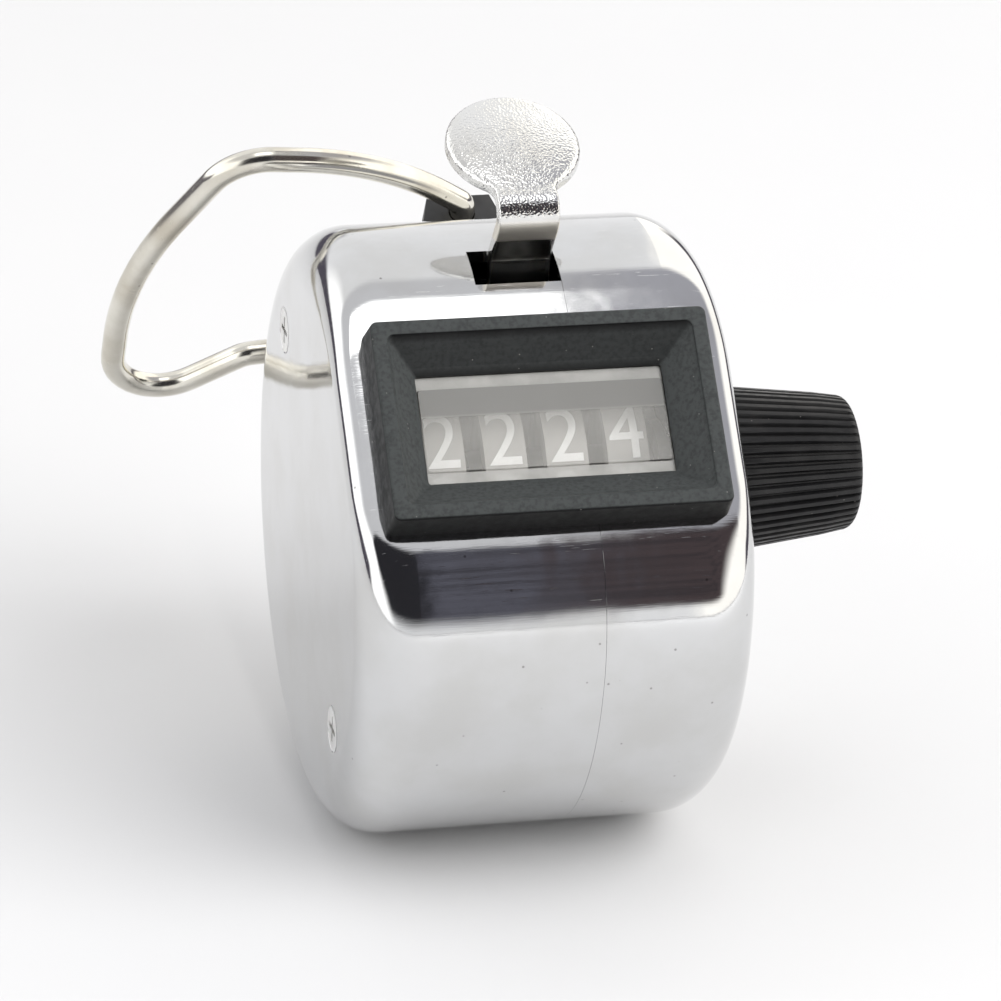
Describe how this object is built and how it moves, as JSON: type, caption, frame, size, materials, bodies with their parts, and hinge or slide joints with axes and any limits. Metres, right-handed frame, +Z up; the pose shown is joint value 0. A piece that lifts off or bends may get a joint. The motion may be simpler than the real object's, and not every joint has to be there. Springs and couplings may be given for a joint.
{
  "type": "tally counter",
  "caption": "Hand-held drum counter with a thumb lever that steps number wheels behind a framed sight, a reset knob and a wire finger ring.",
  "frame": {"origin": "middle of the drum's axis, where the hand closes round it", "axes": "+X along the drum's axis to the knob, +Y to the back, +Z up to the thumb lever"},
  "size_m": [0.0495, 0.0518, 0.0529],
  "materials": {
    "chrome": "polished chrome plate",
    "lever_chrome": "chrome plate over a textured paddle",
    "screw_steel": "plated steel",
    "ring_steel": "bright drawn wire",
    "inner_steel": "plain steel",
    "bush_brass": "turned brass",
    "bezel_plastic": "satin black moulding",
    "knob_plastic": "satin black moulding",
    "lug_plastic": "satin black moulding",
    "wheel_plastic": "dark grey moulding with white numbers",
    "clear_plastic": "clear, slightly hazy pane"
  },
  "bodies": {
    "case": {"left_shell": "chrome", "right_cover": "chrome", "case_screws": "screw_steel", "upper_pillar": "inner_steel", "lower_pillar": "inner_steel", "bezel": "bezel_plastic", "window": "clear_plastic", "chassis": "inner_steel", "shaft_bush": "bush_brass", "wave_washer": "inner_steel", "pivot_spacers": "bush_brass", "return_spring": "inner_steel", "detent_comb": "inner_steel", "ring_lug": "lug_plastic"},
    "lever": {"thumb_lever": "lever_chrome", "pawl_pin": "inner_steel", "pawl_spring": "inner_steel"},
    "pawl": {"drive_pawl": "inner_steel"},
    "reset": {"reset_shaft": "inner_steel", "reset_knob": "knob_plastic", "shaft_clips": "inner_steel"},
    "thousands": {"wheel_thousands": "wheel_plastic"},
    "hundreds": {"wheel_hundreds": "wheel_plastic"},
    "tens": {"wheel_tens": "wheel_plastic"},
    "units": {"wheel_units": "wheel_plastic"},
    "ring": {"finger_ring": "ring_steel"}
  },
  "joints": [
    {"name": "lever_press", "type": "hinge", "parent": "case", "child": "lever", "pos_m": [0.0003, 0.00963, 0.01189], "axis": [1, 0, 0], "range_deg": [0, 7], "stiffness_Nm_per_rad": 0.15, "springref_deg": -17.19, "deforming": ["return_spring"]},
    {"name": "pawl_lift", "type": "hinge", "parent": "lever", "child": "pawl", "pos_m": [0.0003, 0.0012, 0.0146], "axis": [1, 0, 0], "range_deg": [0, 6], "stiffness_Nm_per_rad": 0.004, "springref_deg": -17.19},
    {"name": "reset_turn", "type": "hinge", "parent": "case", "child": "reset", "pos_m": [0.0185, -0.00566, 0.00566], "axis": [1, 0, 0], "continuous": true},
    {"name": "count_thousands", "type": "hinge", "parent": "reset", "child": "thousands", "pos_m": [-0.0068, -0.00566, 0.00566], "axis": [1, 0, 0], "continuous": true},
    {"name": "count_hundreds", "type": "hinge", "parent": "reset", "child": "hundreds", "pos_m": [-0.0024, -0.00566, 0.00566], "axis": [1, 0, 0], "continuous": true},
    {"name": "count_tens", "type": "hinge", "parent": "reset", "child": "tens", "pos_m": [0.002, -0.00566, 0.00566], "axis": [1, 0, 0], "continuous": true},
    {"name": "count_units", "type": "hinge", "parent": "reset", "child": "units", "pos_m": [0.0064, -0.00566, 0.00566], "axis": [1, 0, 0], "continuous": true},
    {"name": "ring_swing", "type": "hinge", "parent": "case", "child": "ring", "pos_m": [0.001, 0.02165, 0.0125], "axis": [0, 0.5, -0.866], "range_deg": [-12, 192]}
  ]
}
